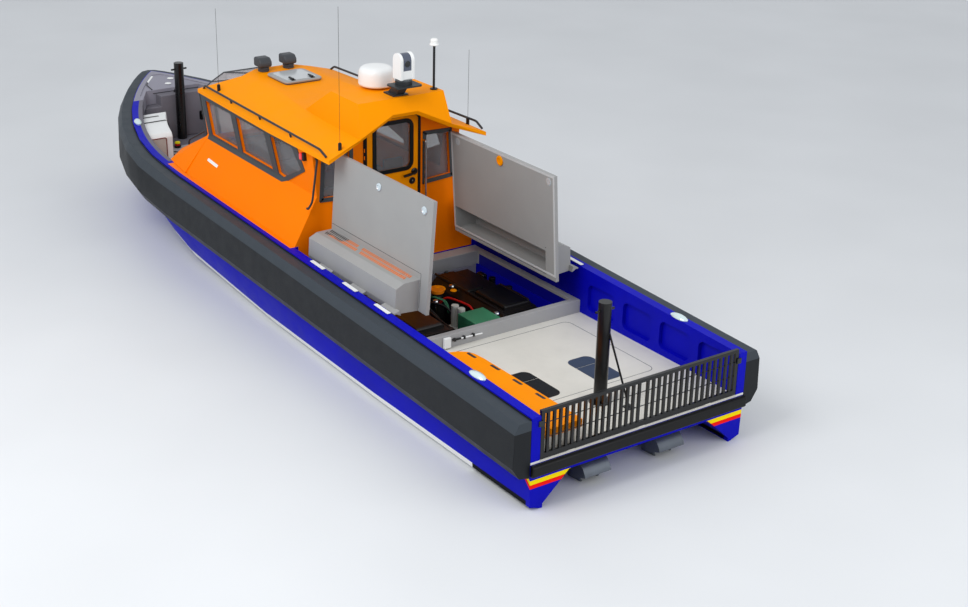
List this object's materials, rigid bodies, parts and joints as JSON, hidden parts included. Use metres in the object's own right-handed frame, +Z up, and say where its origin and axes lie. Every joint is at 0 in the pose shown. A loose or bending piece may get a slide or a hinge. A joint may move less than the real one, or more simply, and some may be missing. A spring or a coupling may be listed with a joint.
{
  "type": "inshore rescue boat",
  "caption": "Waterjet rescue boat with a foam collar round a decked hull, a wheelhouse with radar, an engine bay under two open lids, and an aft well behind a slatted gate.",
  "frame": {"origin": "on the centreline at the waterline, 5.8 m forward of the stern gate", "axes": "+X forward to the bow, +Y to port, +Z up"},
  "size_m": [11.691, 3.226, 4.47],
  "materials": {
    "blue_gelcoat": "gloss, with diagonal yellow and red stripes low on each side and at the transom",
    "foam_skin": "matt reinforced skin over foam",
    "deck_grey": "matt non-slip",
    "fore_grey": "matt non-slip",
    "lid_grey": "satin gelcoat",
    "orange_gelcoat": "gloss",
    "white_gelcoat": "gloss",
    "black_metal": "satin black",
    "frame_metal": "satin dark grey",
    "fender_rubber": "matt",
    "engine_iron": "painted casting",
    "green_paint": "gloss green",
    "window_glass": "clear",
    "console_plastic": "textured",
    "seat_cover": "woven cover over foam",
    "jet_aluminium": "dark coated casting",
    "bare_steel": "polished stainless",
    "whip_plastic": "satin black"
  },
  "bodies": {
    "boat": {"hull": "blue_gelcoat", "collar_port": "foam_skin", "collar_starboard": "foam_skin", "aft_deck": "deck_grey", "side_bench": "deck_grey", "rescue_board": "orange_gelcoat", "bay_coaming": "lid_grey", "stern_fender": "fender_rubber", "tow_post_aft": "black_metal", "tow_post_fore": "black_metal", "engine_port": "engine_iron", "engine_starboard": "engine_iron", "cooling_tank": "orange_gelcoat", "gear_casing": "green_paint", "fuel_filters": "white_gelcoat", "wheelhouse": "orange_gelcoat", "roof": "orange_gelcoat", "side_glass_port": "window_glass", "side_glass_starboard": "window_glass", "aft_glass_port": "window_glass", "aft_glass_starboard": "window_glass", "screen_glass": "window_glass", "screen_frame": "frame_metal", "console": "console_plastic", "seats_fore": "seat_cover", "seats_aft": "seat_cover", "radar_dome": "white_gelcoat", "turret_bracket": "frame_metal", "camera_turret": "white_gelcoat", "light_pole": "frame_metal", "searchlight_port": "console_plastic", "searchlight_starboard": "console_plastic", "hatch_frame": "lid_grey", "bow_locker": "fore_grey", "bow_pod_port": "white_gelcoat", "bow_pod_starboard": "white_gelcoat", "jet_duct_port": "jet_aluminium", "jet_duct_starboard": "jet_aluminium", "cleat_aft_port": "bare_steel", "cleat_aft_starboard": "bare_steel", "cleat_fore_port": "bare_steel", "cleat_fore_starboard": "bare_steel", "whip_fore_port": "whip_plastic", "whip_aft_port": "whip_plastic", "whip_aft_starboard": "whip_plastic"},
    "cabin_door": {"door": "orange_gelcoat", "door_glass": "window_glass"},
    "bay_lid_port": {"lid_port": "lid_grey"},
    "bay_lid_starboard": {"lid_starboard": "lid_grey"},
    "gate": {"stern_gate": "black_metal"},
    "hatch": {"roof_hatch": "lid_grey"},
    "nozzle_port": {"jet_nozzle_port": "jet_aluminium"},
    "nozzle_starboard": {"jet_nozzle_starboard": "jet_aluminium"},
    "reverse_port": {"bucket_port": "jet_aluminium"},
    "reverse_starboard": {"bucket_starboard": "jet_aluminium"}
  },
  "joints": [
    {"name": "door_hinge", "type": "hinge", "parent": "boat", "child": "cabin_door", "pos_m": [-1.08, 0.318, 1.6], "axis": [0, 0, -1], "range_deg": [0, 100]},
    {"name": "lid_port_hinge", "type": "hinge", "parent": "boat", "child": "bay_lid_port", "pos_m": [-2.25, 1.25, 1.085], "axis": [1, 0, 0], "range_deg": [0, 86]},
    {"name": "lid_starboard_hinge", "type": "hinge", "parent": "boat", "child": "bay_lid_starboard", "pos_m": [-2.25, -1.25, 1.085], "axis": [-1, 0, 0], "range_deg": [0, 86]},
    {"name": "gate_hinge", "type": "hinge", "parent": "boat", "child": "gate", "pos_m": [-5.798, 0, 0.541], "axis": [0, -1, 0], "range_deg": [0, 90]},
    {"name": "hatch_hinge", "type": "hinge", "parent": "boat", "child": "hatch", "pos_m": [1.43, 0, 2.5183], "axis": [0, 1, 0], "range_deg": [0, 85]},
    {"name": "nozzle_port_steer", "type": "hinge", "parent": "boat", "child": "nozzle_port", "pos_m": [-5.46, 0.49, 0.06], "axis": [0, 0, 1], "range_deg": [-27, 27]},
    {"name": "nozzle_starboard_steer", "type": "hinge", "parent": "boat", "child": "nozzle_starboard", "pos_m": [-5.46, -0.49, 0.06], "axis": [0, 0, 1], "range_deg": [-27, 27]},
    {"name": "bucket_port_tilt", "type": "hinge", "parent": "nozzle_port", "child": "reverse_port", "pos_m": [-5.55, 0.49, 0.06], "axis": [0, -1, 0], "range_deg": [0, 70]},
    {"name": "bucket_starboard_tilt", "type": "hinge", "parent": "nozzle_starboard", "child": "reverse_starboard", "pos_m": [-5.55, -0.49, 0.06], "axis": [0, -1, 0], "range_deg": [0, 70]}
  ],
  "couplings": [
    {"joint": "nozzle_starboard_steer", "follows": "nozzle_port_steer", "ratio": 1}
  ]
}
